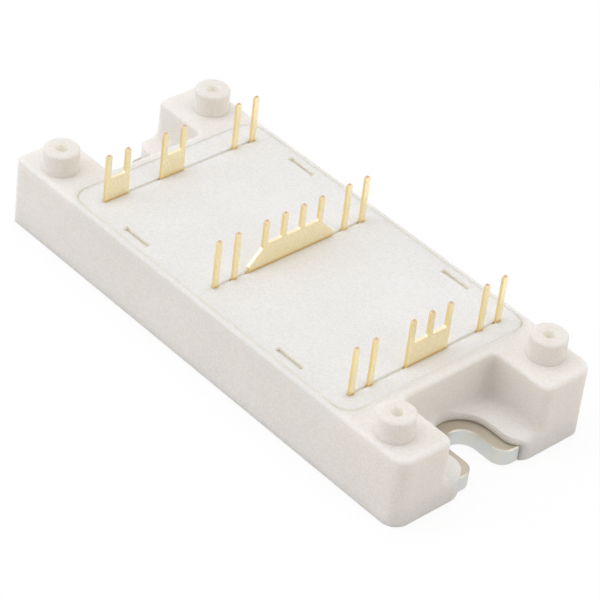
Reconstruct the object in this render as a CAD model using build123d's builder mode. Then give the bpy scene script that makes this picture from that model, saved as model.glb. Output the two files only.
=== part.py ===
from build123d import *
import os
from math import radians, tan

os.makedirs("parts", exist_ok=True)

# A power module of four switches and four diodes, in millimetres.
# The origin is at the centre of the underside of the metal base.
# +X runs along the length and +Z is up, to the terminals' tips.

# Moulded housing
housing_length = 91.8
housing_top = 12.6
foot_lift = 0.2  # its foot stays this far above the underside of the base
mould_draft = 0.5  # degrees, on every outer wall
front_corner_radius = 2.7  # upright corners at the +X end
rear_corner_radius = 1.2  # upright corners at the -X end
top_edge_radius = 0.6

# Notches at both ends, with a thin flange as their floor
notch_depth = 11.4  # at the flange
notch_width = 19.2  # at the flange
notch_corner_radius = 1.4
notch_foot_radius = 1.3
front_mouth_radius = 1.6
rear_mouth_radius = 1.0
front_flange_top = 4.4
rear_flange_top = 5.9

# Screw slots through the flange and the base
screw_inset = 6.3  # from the end of the housing to the centre of the screw
flange_slot_width = 10.1
flange_flare_radius = 3.4
base_slot_width = 5.5
base_flare_radius = 2.4

# Screw bosses for the circuit board
boss_end_inset = 6.55  # from the end of the housing to the centre of the boss
boss_side_inset = 4.3
boss_diameter = 5.9
boss_height = 3.9
boss_draft = 0.5  # degrees
boss_edge_chamfer = 0.25
boss_hole_diameter = 2.1
boss_hole_depth = 10.0
boss_hole_chamfer = 0.1

# Metal base and the bead that the housing is glued with
base_thickness = 3.0
end_skirt = 0.7  # plastic outside the base at the ends
side_skirt = 1.6  # plastic outside the base along the sides
base_clearance = 0.1
base_corner_radius = 1.0
base_chamfer = 0.2
glue_thickness = 0.15
glue_inset = 0.3  # from the edges of the seat

# Lid, flush in the rim
end_rim = 1.75  # plastic between a notch and the lid's recess
side_rim = 1.03  # plastic outside the lid's recess along the sides
lid_clearance = 0.05
lid_thickness = 1.6
lid_corner_radius = 3.0
lid_chamfer = 0.2
end_ledge = 0.75  # what the lid rests on at its ends
side_ledge = 2.0  # and along its sides
cavity_corner_radius = 2.0

# Latches of the housing in windows of the lid
latch_spacing = 36.2
window_inset = 1.75  # from the long edge of the lid to the middle of a window
window_length = 5.8
window_width = 1.0
latch_clearance = 0.05
latch_drop = 0.6  # the latch ends this far below the lid's face
post_margin = 0.7  # the post under a latch is this much longer at each end

# Terminals, stamped from strip
pitch = 3.81
rear_row_inset = 4.45  # from the -X end of the lid to the first row
front_row_inset = 3.35  # from the +X end of the lid to the last row
middle_row_x = -1.5
blade_thickness = 0.5
tine_width = 0.95
tine_height = 8.6  # above the lid
tip_chamfer = 0.18
web_height = 4.2  # above the lid
web_corner_radius = 0.3
widest_count = 4  # tines on the widest terminal, which has sloped shoulders
shoulder_reach = 2.56  # past its outer tines
shoulder_height = 1.0  # upright stretch above the lid, below its slope
slit_clearance = 0.05  # between a blade and its slit in the lid, all round
groove_depth = 0.35  # of the groove that joins the slits of a row
web_drop = 2.4  # from the underside of the lid down to a web's lower edge
foot_length = 2.25
bend_radius = 0.7
bend_inner_radius = 0.2
bend_rise = 1.2

# Ceramic tiles with copper on both faces
solder_thickness = 0.15
copper_thickness = 0.3
ceramic_thickness = 0.63
copper_margin = 0.4
tile_wall_gap = 0.9
tile_side_gap = 0.8
tile_gap = 2.0
foot_land = 0.1  # copper beside the outermost feet
strip_width = 5.0
track_gap = 0.85
inner_cut = 2.5  # pitches from the middle to the gap beside the broad middle pad
outer_cut = 3.5  # and to the gap between the last two pads

# Chips, thermistor and bonds
switch_length = 6.0
switch_width = 6.5
diode_length = 4.6
diode_width = 5.0
chip_inset = 0.7  # from the end of the copper island
chip_y = 5.0
chip_thickness = 0.35
thermistor_length = 2.0
thermistor_width = 1.25
thermistor_thickness = 0.6
bond_y = 6.0
bond_thickness = 0.2
ribbon_foot = 1.2
bond_rise = 1.3
bond_crest = 1.2
ribbon_width = 1.6
link_ribbon_y = 2.0
link_inset = 1.6
gate_wire_width = 0.4
gate_foot = 0.4
gate_inset = 0.6
bond_inset = 1.4
gel_gap = 0.4  # from the gel's face up to the webs
touch = 0.01  # how near an edge or corner lies to a height to count as on it

# Places worked out from the sizes
half_length = housing_length / 2
notch_back_x = half_length - notch_depth
screw_x = half_length - screw_inset
seat_length = housing_length - 2 * end_skirt
seat_corner_radius = base_corner_radius + base_clearance
seat_z = base_thickness + glue_thickness
base_length = seat_length - 2 * base_clearance
recess_length = 2 * (notch_back_x - end_rim)
lid_length = recess_length - 2 * lid_clearance
lid_bottom = housing_top - lid_thickness
row_span = 4 * pitch + tine_width / 2
copper_width = 2 * (row_span + foot_land)
tile_width = copper_width + 2 * copper_margin
cavity_length = recess_length - 2 * end_ledge
cavity_width = tile_width + 2 * tile_side_gap
recess_width = cavity_width + 2 * side_ledge
lid_width = recess_width - 2 * lid_clearance
housing_width = recess_width + 2 * side_rim
seat_width = housing_width - 2 * side_skirt
base_width = seat_width - 2 * base_clearance
tile_length = cavity_length / 2 - tile_wall_gap - tile_gap / 2
tile_x = (tile_length + tile_gap) / 2
copper_length = tile_length - 2 * copper_margin
strip_x = (copper_length - strip_width) / 2
lower_copper_z = base_thickness + solder_thickness
ceramic_z = lower_copper_z + copper_thickness
upper_copper_z = ceramic_z + ceramic_thickness
chip_z = upper_copper_z + copper_thickness
bond_z = chip_z + chip_thickness
row_a_x = rear_row_inset - lid_length / 2
row_c_x = lid_length / 2 - front_row_inset
row_places = (row_a_x, middle_row_x, row_c_x)
slit_width = blade_thickness + 2 * slit_clearance
web_bottom = lid_bottom - web_drop
gel_top = web_bottom - gel_gap
latch_length = window_length - 2 * latch_clearance
latch_width = window_width - 2 * latch_clearance
latch_top = housing_top - latch_drop
window_y = lid_width / 2 - window_inset
boss_spacing_x = housing_length - 2 * boss_end_inset
boss_spacing_y = housing_width - 2 * boss_side_inset
boss_top = housing_top + boss_height
tine_top = housing_top + tine_height
web_top = housing_top + web_height
bend_top = chip_z + bend_rise
boss_tip_radius = boss_diameter / 2
boss_foot_radius = boss_tip_radius + boss_height * tan(radians(boss_draft))
upward = (Align.CENTER, Align.CENTER, Align.MIN)
bead_length = 2 * (screw_x - flange_slot_width / 2 - glue_inset)
bead_width = base_width - 2 * glue_inset
bead_corner_radius = cavity_corner_radius


def save(piece, name):
    """Label a finished piece and write it to its own file"""
    piece.label = name
    export_step(piece, f"parts/{name}.step")


def end_slots(slot_width, mouth_x, flare_radius):
    """A U-shaped slot at each end, open past the end, whose mouth turns out round two radii"""
    side = slot_width / 2
    turn = side + flare_radius
    run_out = mouth_x + flare_radius
    with BuildSketch() as slots:
        with BuildLine():
            ThreePointArc((screw_x, side), (screw_x - side, 0), (screw_x, -side))
            Line((screw_x, -side), (mouth_x - flare_radius, -side))
            TangentArc((mouth_x - flare_radius, -side), (mouth_x, -turn), tangent=(1, 0))
            Polyline((mouth_x, -turn), (run_out, -turn), (run_out, turn), (mouth_x, turn))
            TangentArc((mouth_x, turn), (mouth_x - flare_radius, side), tangent=(0, -1))
            Line((mouth_x - flare_radius, side), (screw_x, side))
        make_face()
        mirror(about=Plane.YZ)
    return slots.sketch


flange_slots = end_slots(flange_slot_width, half_length, flange_flare_radius)
base_slots = end_slots(base_slot_width, base_length / 2, base_flare_radius)


def mouth_edges(end_face, flange_top):
    """The edges of an end face that border its notch, up both corners and along the flange"""
    mouth_side = notch_width / 2 + notch_corner_radius
    return [
        edge
        for edge in end_face.edges()
        if flange_top - touch < edge.center().Z < housing_top - touch and abs(edge.center().Y) < mouth_side
    ]


def foot_edges(edges, end, flange_top):
    """The edges where the walls of the notch at one end stand on its flange"""
    return [
        edge
        for edge in edges
        if abs(edge.center().Z - flange_top) < touch
        and 0 < end * edge.center().X < half_length - notch_corner_radius
    ]


# The cavity, with the posts under the latches standing in from its long walls
post_length = window_length + 2 * post_margin
post_inner_y = window_y - latch_width / 2
with BuildSketch() as cavity:
    RectangleRounded(cavity_length, cavity_width, cavity_corner_radius)
    with GridLocations(latch_spacing, 2 * post_inner_y + cavity_width, 2, 2):
        Rectangle(post_length, cavity_width, mode=Mode.SUBTRACT)

# Housing: one moulding with drafted walls, notched ends and four screw bosses
notch_ends = (
    (1, front_flange_top, front_mouth_radius),
    (-1, rear_flange_top, rear_mouth_radius),
)
with BuildPart() as housing:
    with BuildSketch(Plane.XY.offset(foot_lift)) as outline:
        Rectangle(housing_length, housing_width)
        fillet(outline.vertices().group_by(Axis.X)[-1], front_corner_radius)
        fillet(outline.vertices().group_by(Axis.X)[0], rear_corner_radius)
    extrude(amount=housing_top - foot_lift, taper=mould_draft)

    # A notch in each end: its walls run out into the flange at their foot, and one radius goes
    # up the corner of each block and along the edge of the flange
    for end, flange_top, mouth_radius in notch_ends:
        with BuildSketch(Plane.XY.offset(flange_top)) as notch:
            with Locations((end * half_length, 0)):
                Rectangle(2 * notch_depth, notch_width)
            back_corners = [corner for corner in notch.vertices() if abs(corner.X) < half_length]
            fillet(back_corners, notch_corner_radius)
        extrude(amount=housing_top - flange_top, taper=-mould_draft, mode=Mode.SUBTRACT)
        fillet(foot_edges(housing.edges(), end, flange_top), notch_foot_radius)
        end_face = housing.faces().sort_by(lambda face: end * face.center().X)[-1]
        fillet(mouth_edges(end_face, flange_top), mouth_radius)
    fillet(housing.faces().sort_by(Axis.Z)[-1].edges(), top_edge_radius)

    # The lid's recess, the cavity under it and the seat of the base
    with BuildSketch(Plane.XY.offset(lid_bottom)):
        RectangleRounded(recess_length, recess_width, lid_corner_radius + lid_clearance)
    extrude(amount=lid_thickness, mode=Mode.SUBTRACT)
    with BuildSketch(Plane.XY.offset(foot_lift)):
        add(cavity)
    extrude(amount=lid_bottom - foot_lift, mode=Mode.SUBTRACT)
    with BuildSketch(Plane.XY.offset(foot_lift)):
        RectangleRounded(seat_length, seat_width, seat_corner_radius)
    extrude(amount=seat_z - foot_lift, mode=Mode.SUBTRACT)
    with BuildSketch(Plane.XY.offset(foot_lift)):
        add(flange_slots)
    extrude(amount=rear_flange_top + notch_foot_radius - foot_lift, mode=Mode.SUBTRACT)

    # Latches on the ledge
    with BuildSketch(Plane.XY.offset(lid_bottom)):
        with GridLocations(latch_spacing, 2 * window_y, 2, 2):
            Rectangle(latch_length, latch_width)
    extrude(amount=latch_top - lid_bottom)

    # Screw bosses with blind holes
    with Locations(Plane.XY.offset(housing_top)):
        with GridLocations(boss_spacing_x, boss_spacing_y, 2, 2):
            Cone(boss_foot_radius, boss_tip_radius, boss_height - boss_edge_chamfer, align=upward)
    with Locations(Plane.XY.offset(boss_top - boss_edge_chamfer)):
        with GridLocations(boss_spacing_x, boss_spacing_y, 2, 2):
            Cone(boss_tip_radius, boss_tip_radius - boss_edge_chamfer, boss_edge_chamfer, align=upward)
    with Locations(Plane.XY.offset(boss_top)):
        with GridLocations(boss_spacing_x, boss_spacing_y, 2, 2):
            Hole(boss_hole_diameter / 2, depth=boss_hole_depth)
    boss_rims = housing.faces().sort_by(Axis.Z)[-4:]
    chamfer([rim.inner_wires().edges()[0] for rim in boss_rims], boss_hole_chamfer)
save(housing.part, "housing")

# Base: a nickel-plated copper plate, slotted at both ends
with BuildPart() as baseplate:
    with BuildSketch():
        RectangleRounded(base_length, base_width, base_corner_radius)
        add(base_slots, mode=Mode.SUBTRACT)
    extrude(amount=base_thickness)
    chamfer(baseplate.faces().sort_by(Axis.Z)[-1].edges(), base_chamfer)
    chamfer(baseplate.faces().sort_by(Axis.Z)[0].edges(), base_chamfer)
save(baseplate.part, "baseplate")

# Adhesive: a closed bead between the base and the seat of the housing
with BuildPart() as adhesive_bead:
    with BuildSketch(Plane.XY.offset(base_thickness)):
        RectangleRounded(bead_length, bead_width, bead_corner_radius)
        Rectangle(cavity_length + 2 * glue_inset, cavity_width + 2 * glue_inset, mode=Mode.SUBTRACT)
    extrude(amount=glue_thickness)
save(adhesive_bead.part, "adhesive_bead")

# The terminals' rows: name, place, which way their feet point, and each terminal's tines in pitches
inward = 1
terminal_rows = (
    ("a", row_a_x, inward, ((-4, -3), (-1, 0), (3,), (4,))),
    ("b", middle_row_x, -inward, ((-4,), (-3,), (-1.5, -0.5, 0.5, 1.5), (3,), (4,))),
    ("c", row_c_x, -inward, ((-4,), (-3,), (-1, 0, 1), (3,), (4,))),
)


def has_shoulders(places):
    """Only the widest terminal has them"""
    return len(places) == widest_count


def blade_reach(places):
    """How far a blade reaches to each side of its middle where it stands in the lid"""
    outer_y = pitch * (places[-1] - places[0]) / 2 + tine_width / 2
    return outer_y + shoulder_reach if has_shoulders(places) else outer_y


# Lid: a moulded plate with a slit for each terminal and a window for each latch
with BuildPart() as lid:
    with BuildSketch(Plane.XY.offset(lid_bottom)):
        RectangleRounded(lid_length, lid_width, lid_corner_radius)
    extrude(amount=lid_thickness)
    chamfer(lid.faces().sort_by(Axis.Z)[-1].edges(), lid_chamfer)
    with BuildSketch(Plane.XY.offset(lid_bottom)):
        for row, row_x, foot_way, groups in terminal_rows:
            for places in groups:
                with Locations((row_x, pitch * (places[0] + places[-1]) / 2)):
                    Rectangle(slit_width, 2 * (blade_reach(places) + slit_clearance))
        with GridLocations(latch_spacing, 2 * window_y, 2, 2):
            Rectangle(window_length, window_width)
    extrude(amount=lid_thickness, mode=Mode.SUBTRACT)
    with BuildSketch(Plane.XY.offset(housing_top - groove_depth)):
        with Locations([(x, 0) for x in row_places]):
            Rectangle(slit_width, 2 * (row_span + slit_clearance))
    extrude(amount=groove_depth, mode=Mode.SUBTRACT)
save(lid.part, "lid")


def stamp_terminal(name, row_x, foot_way, places):
    """A blade with one tine at each place along the row, and a bent foot under its outer tines"""
    tine_ys = [pitch * place for place in places]
    leg_ys = sorted({tine_ys[0], tine_ys[-1]})
    outer_y = (tine_ys[-1] - tine_ys[0] + tine_width) / 2
    middle_y = (tine_ys[-1] + tine_ys[0]) / 2
    with BuildPart() as terminal:
        with BuildSketch(Plane.YZ.offset(row_x - blade_thickness / 2)) as blank:
            for tine_y in tine_ys:
                with Locations((tine_y, (web_bottom + tine_top) / 2)):
                    Rectangle(tine_width, tine_top - web_bottom)
            chamfer(blank.vertices().group_by(Axis.Y)[-1], tip_chamfer)
            if len(tine_ys) > 1:
                with Locations((middle_y, (web_bottom + web_top) / 2)):
                    Rectangle(2 * outer_y, web_top - web_bottom)
                throats = [corner for corner in blank.vertices() if abs(corner.Y - web_top) < touch]
                fillet(throats, web_corner_radius)
            if has_shoulders(places):
                slope_foot_z = housing_top + shoulder_height
                slope_top_z = slope_foot_z + shoulder_reach
                shoulder_y = blade_reach(places)
                with BuildLine():
                    Polyline(
                        (middle_y - shoulder_y, web_bottom),
                        (middle_y + shoulder_y, web_bottom),
                        (middle_y + shoulder_y, slope_foot_z),
                        (middle_y + outer_y, slope_top_z),
                        (middle_y - outer_y, slope_top_z),
                        (middle_y - shoulder_y, slope_foot_z),
                        close=True,
                    )
                make_face()
            for leg_y in leg_ys:
                with Locations((leg_y, (bend_top + web_bottom) / 2)):
                    Rectangle(tine_width, web_bottom - bend_top)
        extrude(amount=blade_thickness)
        back_x = row_x - foot_way * blade_thickness / 2
        front_x = row_x + foot_way * blade_thickness / 2
        toe_x = back_x + foot_way * foot_length
        for leg_y in leg_ys:
            with BuildSketch(Plane.XZ.offset(-leg_y - tine_width / 2)) as foot:
                with BuildLine():
                    Polyline(
                        (back_x, chip_z),
                        (toe_x, chip_z),
                        (toe_x, chip_z + blade_thickness),
                        (front_x, chip_z + blade_thickness),
                        (front_x, bend_top),
                        (back_x, bend_top),
                        close=True,
                    )
                make_face()
                heel = foot.vertices().sort_by_distance((back_x, chip_z))[0]
                fillet(heel, bend_radius)
                instep = foot.vertices().sort_by_distance((front_x, chip_z + blade_thickness))[0]
                fillet(instep, bend_inner_radius)
            extrude(amount=tine_width)
    save(terminal.part, name)
    return terminal.part


# Terminals: three rows of gilded blades, with their feet soldered to the copper below
terminals = []
for row, row_x, foot_way, groups in terminal_rows:
    for number, places in enumerate(groups, start=1):
        terminals.append(stamp_terminal(f"terminal_{row}{number}", row_x, foot_way, places))


def save_layer(name, outline, base_z, thickness):
    """A flat layer of a tile, raised from its outline"""
    with BuildPart() as layer:
        with BuildSketch(Plane.XY.offset(base_z)):
            add(outline)
        extrude(amount=thickness)
    save(layer.part, name)
    return layer.part


def etched_tracks(centre_x, left_cuts, right_cuts):
    """The upper copper: a strip of pads at each end and two islands for the chips between them"""
    with BuildSketch() as tracks:
        with Locations((centre_x, 0)):
            Rectangle(copper_length, copper_width)
            with Locations((-gap_x, 0), (gap_x, 0)):
                Rectangle(track_gap, copper_width, mode=Mode.SUBTRACT)
            Rectangle(2 * gap_x, track_gap, mode=Mode.SUBTRACT)
        for side, cuts in ((-1, left_cuts), (1, right_cuts)):
            with Locations([(centre_x + side * strip_x, pitch * place) for place in cuts]):
                Rectangle(strip_width, track_gap, mode=Mode.SUBTRACT)
    return tracks.sketch


def block(name, centre_x, centre_y, base_z, length, width, thickness):
    """A chip or a chip-sized component, flat on the copper"""
    with BuildPart() as chip:
        with BuildSketch(Plane.XY.offset(base_z)):
            with Locations((centre_x, centre_y)):
                Rectangle(length, width)
        extrude(amount=thickness)
    save(chip.part, name)
    return chip.part


def bond(name, start, end, width, bond_length):
    """A strip bonded at both ends, with its middle arched up between them"""
    start_point = Vector(*start)
    run = Vector(end[0] - start[0], end[1] - start[1], 0)
    span = run.length
    drop = end[2] - start[2]
    side_plane = Plane(start_point, x_dir=run, z_dir=run.cross(Vector(0, 0, 1)))
    crest_z = max(drop, 0) + bond_rise
    flank = (span - bond_crest) / 2
    with BuildPart() as strip:
        with BuildSketch(side_plane):
            with BuildLine():
                Polyline(
                    (-bond_length, 0),
                    (0, 0),
                    (flank, crest_z),
                    (span - flank, crest_z),
                    (span, drop),
                    (span + bond_length, drop),
                    (span + bond_length, drop + bond_thickness),
                    (span, drop + bond_thickness),
                    (span - flank, crest_z + bond_thickness),
                    (flank, crest_z + bond_thickness),
                    (0, bond_thickness),
                    (-bond_length, bond_thickness),
                    close=True,
                )
            make_face()
        extrude(amount=width / 2, both=True)
    save(strip.part, name)
    return strip.part


# Two tiles on the base, each with its switches, diodes and bonds
gap_x = copper_length / 2 - strip_width - track_gap / 2
island_end_x = gap_x - track_gap / 2
single_cuts = (-outer_cut, -inner_cut, inner_cut, outer_cut)
pair_cuts = (-inner_cut, inner_cut, outer_cut)
link_cuts = (-inner_cut, inner_cut)
pad_x = copper_length / 2 - strip_width + ribbon_foot / 2
gate_pad_y = inner_cut * pitch + track_gap / 2 + gate_wire_width
potted = []
for tile, (centre_x, left_cuts) in enumerate(((-tile_x, pair_cuts), (tile_x, link_cuts)), start=1):
    with BuildSketch() as ceramic:
        with Locations((centre_x, 0)):
            Rectangle(tile_length, tile_width)
    with BuildSketch() as backing:
        with Locations((centre_x, 0)):
            Rectangle(copper_length, copper_width)
    tracks = etched_tracks(centre_x, left_cuts, single_cuts)
    potted.append(save_layer(f"solder_layer_{tile}", backing.sketch, base_thickness, solder_thickness))
    potted.append(save_layer(f"lower_copper_{tile}", backing.sketch, lower_copper_z, copper_thickness))
    potted.append(save_layer(f"ceramic_tile_{tile}", ceramic.sketch, ceramic_z, ceramic_thickness))
    potted.append(save_layer(f"copper_tracks_{tile}", tracks, upper_copper_z, copper_thickness))
    for side, suffix in ((-1, "low"), (1, "high")):
        chip_name = f"{tile}_{suffix}"
        switch_end_x = centre_x + island_end_x - chip_inset
        diode_end_x = centre_x - island_end_x + chip_inset + diode_length
        switch_x = switch_end_x - switch_length / 2
        diode_x = diode_end_x - diode_length / 2
        switch_at = (switch_x, side * chip_y, chip_z, switch_length, switch_width, chip_thickness)
        diode_at = (diode_x, side * chip_y, chip_z, diode_length, diode_width, chip_thickness)
        potted.append(block(f"switch_chip_{chip_name}", *switch_at))
        potted.append(block(f"diode_chip_{chip_name}", *diode_at))
        landing = (centre_x + pad_x, side * bond_y, chip_z)
        source = (switch_end_x - bond_inset, side * bond_y, bond_z)
        anode = (diode_end_x - bond_inset, side * bond_y, bond_z)
        relay = (switch_end_x - switch_length + bond_inset, side * bond_y, bond_z)
        potted.append(bond(f"source_ribbon_{chip_name}", source, landing, ribbon_width, ribbon_foot))
        potted.append(bond(f"diode_ribbon_{chip_name}", anode, relay, ribbon_width, ribbon_foot))
        gate_y = side * (chip_y + switch_width / 2 - gate_inset)
        gate = (switch_end_x - bond_inset, gate_y, bond_z)
        gate_pad = (centre_x + pad_x, side * gate_pad_y, chip_z)
        potted.append(bond(f"gate_wire_{chip_name}", gate, gate_pad, gate_wire_width, gate_foot))

for side, suffix in ((-1, "low"), (1, "high")):
    link_start = (-tile_gap / 2 - copper_margin - link_inset, side * link_ribbon_y, chip_z)
    link_end = (tile_gap / 2 + copper_margin + link_inset, side * link_ribbon_y, chip_z)
    potted.append(bond(f"link_ribbon_{suffix}", link_start, link_end, ribbon_width, ribbon_foot))

# A thermistor across the last two pads of the second tile
thermistor_x = tile_x + copper_length / 2 - strip_width + thermistor_width / 2
thermistor_size = (thermistor_width, thermistor_length, thermistor_thickness)
potted.append(block("thermistor", thermistor_x, outer_cut * pitch, chip_z, *thermistor_size))

# Gel: poured over everything on the base, up to just under the webs of the terminals
with BuildPart() as silicone_gel:
    with BuildSketch(Plane.XY.offset(seat_z)):
        add(cavity)
    extrude(amount=gel_top - seat_z)
    with BuildSketch(Plane.XY.offset(base_thickness)):
        Rectangle(cavity_length, cavity_width)
    extrude(amount=glue_thickness)
    add(potted + terminals, mode=Mode.SUBTRACT)
save(silicone_gel.part, "silicone_gel")
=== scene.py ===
from math import radians

import bpy
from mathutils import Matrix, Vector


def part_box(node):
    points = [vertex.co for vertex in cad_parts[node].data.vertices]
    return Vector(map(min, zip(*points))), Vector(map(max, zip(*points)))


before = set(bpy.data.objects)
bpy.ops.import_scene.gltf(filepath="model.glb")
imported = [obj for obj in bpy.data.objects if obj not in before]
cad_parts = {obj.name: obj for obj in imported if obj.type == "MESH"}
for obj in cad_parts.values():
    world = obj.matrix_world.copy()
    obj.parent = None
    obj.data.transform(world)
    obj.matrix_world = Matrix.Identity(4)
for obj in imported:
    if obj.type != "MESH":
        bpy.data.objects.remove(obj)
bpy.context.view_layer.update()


# Base plate
# Copper, punched from sheet and plated with nickel, with a flat face for the heatsink.
# It is glued into the housing's foot, and shows in the slots at the ends and from below.

mm = 0.001
cool_nickel, warm_nickel = (0.605, 0.63, 0.615, 1), (0.65, 0.64, 0.59, 1)
# Painted shade: the faces that look up get a darker, browner nickel than the walls
shaded_top_nickel = (0.62, 0.56, 0.475, 1)
brush_width, drag_width, streak_size = 0.7 * mm, 0.35 * mm, 2.5 * mm
along_plate, up_wall = (0.05, 1, 1), (1, 1, 0.08)  # scales that draw a pattern out that way
sloping, level = 0.4, 0.9  # the upright part of the way that such faces look
line_depth = 0.005 * mm


class Wire:
    """A socket of a material's nodes, so that masks and patterns are written as sums"""

    def __init__(self, tree, socket=None):
        self.tree = tree
        self.socket = socket

    def node(self, kind, settings=(), inputs=(), output=0):
        """Add a node, set it up, fill its inputs with values or wires, and give one output"""
        made = self.tree.nodes.new("ShaderNode" + kind)
        for key, value in dict(settings).items():
            setattr(made, key, value)
        for key, value in dict(inputs).items():
            if isinstance(value, Wire):
                self.tree.links.new(value.socket, made.inputs[key])
            else:
                made.inputs[key].default_value = value
        return Wire(self.tree, made.outputs[output] if made.outputs else None)

    def math(self, operation, first, second=0.0):
        return self.node("Math", {"operation": operation}, {0: first, 1: second})

    def __add__(self, other):
        return self.math("ADD", self, other)

    def __sub__(self, other):
        return self.math("SUBTRACT", self, other)

    def __rsub__(self, other):
        return self.math("SUBTRACT", other, self)

    def __mul__(self, other):
        return self.math("MULTIPLY", self, other)

    __radd__ = __add__
    __rmul__ = __mul__

    def size(self):
        return self.math("ABSOLUTE", self)

    def positive(self):
        return self.math("MAXIMUM", self)

    def either(self, other):
        """The stronger of two masks"""
        return self.math("MAXIMUM", self, other)

    def across(self, other):
        """The length of a way from its two sides"""
        return self.math("SQRT", self * self + other * other)

    def within(self, reach, softness):
        """1 up to this reach on both sides of 0, and 0 past the soft edge"""
        return 1 - self.size().between(reach, reach + softness)

    def between(self, low, high):
        """0 at low and 1 at high, with a soft run between them"""
        settings = {"interpolation_type": "SMOOTHSTEP"}
        return self.node("MapRange", settings, {"Value": self, "From Min": low, "From Max": high})

    def tint(self, first, second):
        """The first colour where this mask is 0 and the second where it is 1"""
        colour_a, colour_b, colour_result = 6, 7, 2
        inputs = {"Factor": self, colour_a: first, colour_b: second}
        return self.node("Mix", {"data_type": "RGBA"}, inputs, output=colour_result)

    def place(self):
        """Where a point of the surface is, on the part's own axes"""
        return self.node("TexCoord", output="Object")

    def facing(self):
        """The way that the surface faces"""
        return self.node("NewGeometry", output="Normal")

    def part(self, axis):
        return self.node("SeparateXYZ", inputs={"Vector": self}, output=axis)

    def drawn_out(self, scales):
        """This place with its axes scaled: a pattern on it runs long where the scale is small"""
        return self.node("Mapping", inputs={"Vector": self, "Scale": scales})

    def noise(self, grain_size, detail=2.0, roughness=0.5):
        """A cloudy pattern of about that grain size, on this place"""
        inputs = {
            "Vector": self, "Scale": 1 / grain_size, "Detail": detail, "Roughness": roughness
        }
        return self.node("TexNoise", inputs=inputs)

    def bump(self, height, rounded=None):
        """Grain of that height, on the plain surface or on one with rounded edges"""
        inputs = {"Height": self, "Distance": height}
        if rounded:
            inputs["Normal"] = rounded
        return self.node("Bump", inputs=inputs)


def blank_nodes(owner):
    """Clear the nodes of a material or a world, and give a wire to build on"""
    owner.use_nodes = True
    owner.node_tree.nodes.clear()
    return Wire(owner.node_tree)


def new_material(name):
    """An empty material, and its first wire"""
    material = bpy.data.materials.new(name)
    return material, blank_nodes(material)


def surface(wire, inputs):
    """The Principled shader with these inputs, as the material's surface"""
    shader = wire.node("BsdfPrincipled", inputs=inputs)
    wire.node("OutputMaterial", inputs={"Surface": shader})


def finish_node(name, material):
    """Give a CAD node its finish"""
    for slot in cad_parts[name].material_slots:
        slot.material = material


def plating():
    """Nickel over brushed sheet, drag lines where the punch cut the walls, and painted shade on
    top
    """
    material, wire = new_material("nickel_plating")
    place, facing = wire.place(), wire.facing()
    flat = facing.part("Z").size().between(sloping, level)
    upper = facing.part("Z").between(sloping, level)
    brushed = place.drawn_out(along_plate).noise(brush_width)
    dragged = place.drawn_out(up_wall).noise(drag_width, detail=3.0)
    lines = flat * brushed + (1 - flat) * dragged
    streaked = place.noise(streak_size).between(0.3, 0.7).tint(cool_nickel, warm_nickel)
    surface(
        wire,
        {
            # painted shade on the faces that look up
            "Base Color": upper.tint(streaked, shaded_top_nickel),
            "Metallic": 1.0,
            "Roughness": 0.36 + 0.16 * lines,
            "Normal": lines.bump(line_depth),
        },
    )
    return material


finish_node("baseplate", plating())


# Tiles
# White alumina with copper bonded to both faces, soldered to the base.
# The upper copper is etched into pads and islands.


def plain_finish(
    name, colour, second_colour, grain_size, roughness, metallic=0.0, grain_height=0.01 * mm
):
    """A finish of two close colours in a fine cloud, with a light grain"""
    material, wire = new_material(name)
    cloud = wire.place().noise(grain_size, detail=3.0)
    surface(
        wire,
        {
            "Base Color": cloud.between(0.3, 0.7).tint(colour, second_colour),
            "Metallic": metallic,
            "Roughness": roughness + 0.1 * cloud,
            "Normal": cloud.bump(grain_height),
        },
    )
    return material


alumina = plain_finish(
    "alumina", (0.83, 0.82, 0.79, 1), (0.79, 0.78, 0.75, 1), 0.5 * mm, roughness=0.55
)
bare_copper = plain_finish(
    "bare_copper", (0.80, 0.42, 0.28, 1), (0.72, 0.35, 0.22, 1), 1.5 * mm, roughness=0.28,
    metallic=1.0,
)
soft_solder = plain_finish(
    "soft_solder", (0.52, 0.52, 0.53, 1), (0.44, 0.44, 0.45, 1), 0.7 * mm, roughness=0.38,
    metallic=1.0,
)
for tile in ("1", "2"):
    finish_node("ceramic_tile_" + tile, alumina)
    finish_node("lower_copper_" + tile, bare_copper)
    finish_node("copper_tracks_" + tile, bare_copper)
    finish_node("solder_layer_" + tile, soft_solder)


# Chips, thermistor and bonds
# Diced silicon with aluminium faces, a glazed ceramic thermistor, and aluminium ribbons and wires
# that are bonded between the chips and the copper.

chip_grey = plain_finish(
    "chip_grey", (0.30, 0.31, 0.34, 1), (0.24, 0.25, 0.29, 1), 0.6 * mm, roughness=0.22,
    metallic=0.6,
)
thermistor_glaze = plain_finish(
    "thermistor_glaze", (0.10, 0.09, 0.09, 1), (0.07, 0.06, 0.06, 1), 0.4 * mm, roughness=0.3
)
bond_aluminium = plain_finish(
    "bond_aluminium", (0.79, 0.79, 0.80, 1), (0.72, 0.72, 0.73, 1), 0.3 * mm, roughness=0.32,
    metallic=1.0,
)
finish_node("thermistor", thermistor_glaze)
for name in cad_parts:
    if name.startswith(("switch_chip_", "diode_chip_")):
        finish_node(name, chip_grey)
    if "_ribbon_" in name or name.startswith("gate_wire_"):
        finish_node(name, bond_aluminium)


# Terminals
# Stamped from copper strip and gilded: rolled faces, sheared edges, and bare copper at the cut
# tips. Their feet are soldered to the tracks inside, and the blades stand up through the lid.

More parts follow.
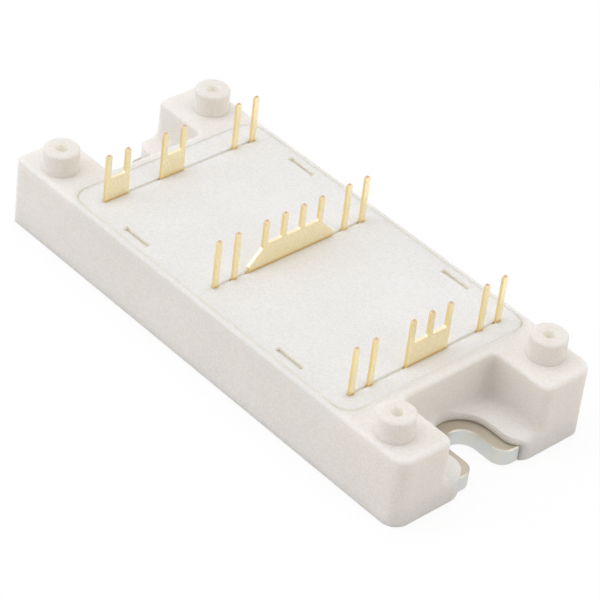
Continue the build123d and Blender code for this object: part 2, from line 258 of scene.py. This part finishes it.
lid_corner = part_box("lid")[1]
tip_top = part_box("terminal_b3")[1].z
tip_low, tip_high = tip_top - 0.6 * mm, tip_top - 0.2 * mm
# Painted shade: the blades are made a deeper gold where they meet the lid
foot_shade_low, foot_shade_high = lid_corner.z + 0.05 * mm, lid_corner.z + 0.5 * mm
roll_width, cloud_size, roll_depth = 0.12 * mm, 0.45 * mm, 0.006 * mm
up_blade = (1, 1, 0.06)
turned_away, turned_up = 0.3, 0.6
rolled_gold, rolled_shade = (1.0, 0.91, 0.66, 1), (0.95, 0.82, 0.52, 1)
# The sheared edges are real, but their deeper gold, set only where they stand upright, is painted
# shade
shaded_sheared_gold = (0.90, 0.70, 0.32, 1)
# Painted highlight: the faces that look up, short of the tips, are made pale gold
highlight_gold = (0.97, 0.86, 0.60, 1)
foot_shade_gold = (0.95, 0.70, 0.28, 1)
cut_copper = (0.66, 0.46, 0.30, 1)


def gilding():
    """Gold over rolled strip with copper tips; painted shade deepens it on upright sheared edges
    and at the lid, a painted highlight pales it on top
    """
    material, wire = new_material("terminal_gold")
    place, facing = wire.place(), wire.facing()
    sheared = 1 - facing.part("X").size().between(turned_away, level)
    upward = facing.part("Z").between(turned_away, turned_up)
    tip = upward * place.part("Z").between(tip_low, tip_high)
    # painted shade where the blades meet the lid
    foot_shade = 1 - place.part("Z").between(foot_shade_low, foot_shade_high)
    rolling = place.drawn_out(up_blade).noise(roll_width, detail=3.0)
    cloud = place.noise(cloud_size, detail=3.0, roughness=0.7)
    rolled = cloud.between(0.35, 0.65).tint(rolled_gold, rolled_shade)
    # painted shade on the upright sheared edges
    side_shaded = (sheared * (1 - upward)).tint(rolled, shaded_sheared_gold)
    # painted highlight on the faces that look up
    highlighted = (upward * (1 - tip)).tint(side_shaded, highlight_gold)
    foot_shaded = foot_shade.tint(highlighted, foot_shade_gold)
    surface(
        wire,
        {
            "Base Color": tip.tint(foot_shaded, cut_copper),
            "Metallic": 1.0,
            "Roughness": 0.3 + 0.12 * rolling + 0.1 * sheared,
            "Normal": rolling.bump(roll_depth),
        },
    )
    return material


terminal_gold = gilding()
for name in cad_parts:
    if name.startswith("terminal_"):
        finish_node(name, terminal_gold)


# Housing
# One injection moulding of white glass-filled polyester, with four hollow screw bosses.
# The mould was spark-eroded to a fine matt grain, and its edges come out soft.

boss_x, boss_y = 39.35 * mm, 15.745 * mm
boss_foot, boss_top = lid_corner.z + 0.3 * mm, lid_corner.z + 3.9 * mm
hole_radius = 1.05 * mm
lid_rounding = 3.0 * mm
straight_x, straight_y = lid_corner.x - lid_rounding, lid_corner.y - lid_rounding
seam_reach, seam_depth = 0.15 * mm, 0.08 * mm
window_x, window_y = 18.1 * mm, 17.215 * mm
window_reach_x, window_reach_y = 2.9 * mm, 0.5 * mm
row_places, row_reach = (-28.25 * mm, -1.5 * mm, 29.35 * mm), lid_corner.y - 2.0 * mm
groove_reach = 0.2 * mm
corner_start, corner_end = -2.0 * mm, 1.0 * mm  # from where the lid's outline starts to bend
near_start, near_end = lid_corner.y - 1.0 * mm, lid_corner.y - 0.5 * mm
# how far below the lid's top the painted shade reaches
painted_shade_depth = 0.4 * mm
crisp = 0.1 * mm  # the width over which a mask runs out
flow_size, patch_size, shine_size, speckle_size = 14 * mm, 16 * mm, 3.2 * mm, 0.32 * mm
grain_depth, scatter_depth = 0.03 * mm, 2.0 * mm
housing_colour, housing_shade = (0.895, 0.857, 0.815, 1), (0.82, 0.78, 0.735, 1)
# Painted shade: the bosses get a darker colour than the rest of the moulding
shaded_boss_colour, shaded_boss_mottle = (0.85, 0.806, 0.762, 1), (0.778, 0.733, 0.685, 1)
# Painted light: the holes and the sunk seam and windows get a paler cream, as if lit through the
# thin walls
painted_light_cream, painted_shade_cream = (0.99, 0.965, 0.89, 1), (0.78, 0.745, 0.63, 1)
# Painted glow: a faint warm light given off in the holes and openings
no_light, painted_glow = (0, 0, 0, 1), (0.055, 0.047, 0.034, 1)
# Shares of painted shade: along the seam, at the lid's corners, on the near long side, in the
# grooves and in the windows
seam_shading, corner_shading, near_shading, groove_shading, window_shading = 0.06, 0.8, 0.25, 0.5, 0.55


def recesses(place):
    """Masks for the screw holes, the lid's seam and windows, and the painted shade near them"""
    x, y, depth = place.part("X"), place.part("Y"), lid_corner.z - place.part("Z")
    side_x, side_y = x.size(), y.size()
    hole = (side_x - boss_x).across(side_y - boss_y).within(hole_radius, crisp)
    along_window = (side_x - window_x).within(window_reach_x, crisp)
    across_window = (side_y - window_y).within(window_reach_y, crisp)
    window = along_window * across_window
    past_x, past_y = side_x - straight_x, side_y - straight_y
    from_seam = past_x.positive().across(past_y.positive()) - lid_rounding
    seam = from_seam.within(seam_reach, seam_reach)
    sunk = depth.between(seam_depth / 4, seam_depth)
    opening = sunk * window.either(seam)

    on_lid = side_y.within(row_reach, crisp)
    groove = on_lid * sum((x - row).within(groove_reach, groove_reach) for row in row_places)
    # Painted shade by the seam runs strongest at the lid's corners and along its near long side
    corner = past_x.between(corner_start, corner_end) * past_y.between(corner_start, corner_end)
    near_side = (0 - y).between(near_start, near_end)
    along_seam = seam_shading + corner_shading * corner + near_shading * near_side
    band = along_seam * from_seam.within(crisp, 4 * crisp)
    near_top = depth.within(painted_shade_depth, crisp)
    painted_shade = near_top * (band + groove_shading * groove) + window_shading * sunk * window
    return hole, opening, painted_shade


def moulded_plastic(name, colour, shade, edge_radius):
    """Matt moulded plastic with soft edges, painted shade on its bosses and by its seams, and
    painted light and glow in its recesses
    """
    material, wire = new_material(name)
    place = wire.place()
    flow = place.noise(flow_size, detail=3.0)
    speckle = place.noise(speckle_size, roughness=0.7)
    shine = place.noise(shine_size)
    patchy = place.noise(patch_size).between(0.4, 0.6)
    rounded = wire.node("Bevel", {"samples": 6}, {"Radius": edge_radius})
    hole, opening, painted_shade = recesses(place)
    # painted shade on the bosses
    on_boss = place.part("Z").between(boss_foot, boss_top)
    light, dark = on_boss.tint(colour, shaded_boss_colour), on_boss.tint(shade, shaded_boss_mottle)
    mottled = (0.25 * flow + 0.75 * speckle).between(0.36, 0.64).tint(light, dark)
    # painted light in the holes and openings
    deep = (hole + opening).tint(mottled, painted_light_cream)
    surface(
        wire,
        {
            # painted shade by the seam, grooves and windows, in patches
            "Base Color": (painted_shade * (0.5 + 0.5 * patchy)).tint(deep, painted_shade_cream),
            # painted glow in the holes and openings
            "Emission Color": (hole + 0.75 * opening).tint(no_light, painted_glow),
            "Emission Strength": 1.0,
            "Roughness": 0.46 + 0.12 * shine,
            "Normal": speckle.bump(grain_depth, rounded),
            "Specular IOR Level": 0.4,
            "Subsurface Weight": 0.8,
            "Subsurface Radius": (1.0, 0.95, 0.88),
            "Subsurface Scale": scatter_depth,
        },
    )
    return material


housing_white = moulded_plastic("housing_white", housing_colour, housing_shade, 0.2 * mm)
finish_node("housing", housing_white)


# Adhesive
# An olive-brown silicone bead that glues the housing to the base plate.
# It shows in the notch, as a thin brown line between the plastic and the metal, and that brown is
# partly the bead's own colour and partly painted shade.

# The bead's olive-brown is partly painted shade for the shadow line in the notch
bead_olive = plain_finish(
    "bead_olive", (0.46, 0.35, 0.22, 1), (0.40, 0.30, 0.17, 1), 0.8 * mm, roughness=0.45
)
finish_node("adhesive_bead", bead_olive)


# Gel
# Clear silicone, poured over the chips and the bonds, where it sets soft and keeps damp out.
# The lid hides it.


def clear_gel():
    """Clear soft silicone, with a faint milky cloud"""
    material, wire = new_material("clear_gel")
    cloud = wire.place().noise(5 * mm)
    surface(
        wire,
        {
            "Base Color": cloud.tint((0.93, 0.94, 0.92, 1), (0.88, 0.90, 0.87, 1)),
            "Roughness": 0.05 + 0.08 * cloud,
            "IOR": 1.41,
            "Transmission Weight": 0.9,
        },
    )
    return material


finish_node("silicone_gel", clear_gel())


# Lid
# A second moulding in the same polyester, snapped onto the housing's latches, flush with the rim.
# Its face is flat and a little cooler in colour than the housing: painted light, a more neutral
# tone for the lit lid beside the housing's warm shaded walls.

# Painted light: the lid's tone is set cooler than the housing's for its lit face
lit_lid_colour, lit_lid_mottle = (0.90, 0.875, 0.85, 1), (0.82, 0.795, 0.77, 1)
finish_node("lid", moulded_plastic("lid_white", lit_lid_colour, lit_lid_mottle, 0.15 * mm))


# Floor
# A white paper sweep, much larger than the view. It shows as white and keeps the part's shadow.
# It lies a hair below the base, and is clear from below, so that the underside can be looked at.

floor_reach, floor_drop = 3.0, 0.02 * mm
paper_colour, plain_white = (0.82, 0.78, 0.73, 1), (1, 1, 1, 1)
shown_white = 0.88  # the share of plain white in what the camera sees of the floor


def looked_at(wire):
    """1 where the camera looks, straight or by way of metal or glass"""
    direct = wire.node("LightPath", output="Is Camera Ray")
    by_metal = wire.node("LightPath", output="Is Glossy Ray")
    through_glass = wire.node("LightPath", output="Is Transmission Ray")
    return direct.either(by_metal + through_glass)


bpy.ops.object.select_all(action="DESELECT")
bpy.ops.mesh.primitive_plane_add(size=2 * floor_reach, location=(0, 0, -floor_drop))
floor = bpy.context.object
floor.name = "floor"
floor_material, wire = new_material("floor_white")
paper = wire.node("BsdfDiffuse", inputs={"Color": paper_colour})
white_paper = wire.node("BsdfDiffuse", inputs={"Color": plain_white})
glow = wire.node("Emission", inputs={"Color": plain_white, "Strength": 1.0})
bright = wire.node("MixShader", inputs={0: shown_white, 1: white_paper, 2: glow})
sweep = wire.node("MixShader", inputs={0: looked_at(wire), 1: paper, 2: bright})
from_below, clear = wire.node("NewGeometry", output="Backfacing"), wire.node("BsdfTransparent")
one_sided = wire.node("MixShader", inputs={0: from_below, 1: sweep, 2: clear})
wire.node("OutputMaterial", inputs={"Surface": one_sided})
floor.data.materials.append(floor_material)


# Light
# A pale studio: an even sky that is darker on one side, a broad soft lamp overhead, a weaker warm
# one past the near end, and a cool one on the near long side.

sky_colour, sky_strength = (0.985, 0.98, 0.97, 1), 0.765
dark_side, dark_share = (0.64, -0.66, 0.39), 0.55
dark_edge, dark_heart = 0.45, 0.95  # how near to that way the sky begins and ends to darken
world = bpy.data.worlds.new("studio_sky")
bpy.context.scene.world = world
sky = blank_nodes(world)
towards = sky.node("TexCoord", output="Generated")
on_dark_side = sky.node(
    "VectorMath", {"operation": "DOT_PRODUCT"}, {0: towards, 1: dark_side}, output="Value"
)
even = sky_strength * (1 - dark_share * on_dark_side.between(dark_edge, dark_heart))
strength = even + (1 - even) * looked_at(sky)
background = sky.node("Background", inputs={"Color": sky_colour, "Strength": strength})
sky.node("OutputWorld", inputs={"Surface": background})


def set_up(data, place, turn):
    """Stand a lamp or a camera at that place, turned by those degrees"""
    stood = bpy.data.objects.new(data.name, data)
    stood.location = place
    stood.rotation_euler = [radians(angle) for angle in turn]
    bpy.context.scene.collection.objects.link(stood)
    return stood


def soft_lamp(name, place, turn, width, power, colour):
    """A square area lamp"""
    lamp = bpy.data.lights.new(name, "AREA")
    lamp.size = width
    lamp.energy = power
    lamp.color = colour
    set_up(lamp, place, turn)


soft_lamp(
    "overhead_lamp", (-0.1, -0.1, 0.9), (0, 0, 0), width=0.8, power=2.5, colour=(0.97, 1.0, 1.04)
)
soft_lamp(
    "end_lamp", (0.85, 0.35, 0.45), (65, 0, 112), width=0.6, power=1.1, colour=(1.0, 0.95, 0.91)
)
soft_lamp(
    "side_lamp", (-0.45, -0.75, 0.4), (65, 0, -31), width=0.6, power=1.8, colour=(0.93, 1.0, 1.11)
)


# Camera
# It looks down on the near end of the part, over its long side, and leans a little.
# The lens is long, as for a small product, so that far edges shrink only a little.

camera_place, camera_turn = (0.23573, -0.24183, 0.26331), (52.31, -5.802, 48.488)
camera = bpy.data.cameras.new("camera")
camera.lens = 162.38
camera.sensor_width = 36.0
bpy.context.scene.camera = set_up(camera, camera_place, camera_turn)
bpy.context.scene.view_settings.view_transform = "Standard"
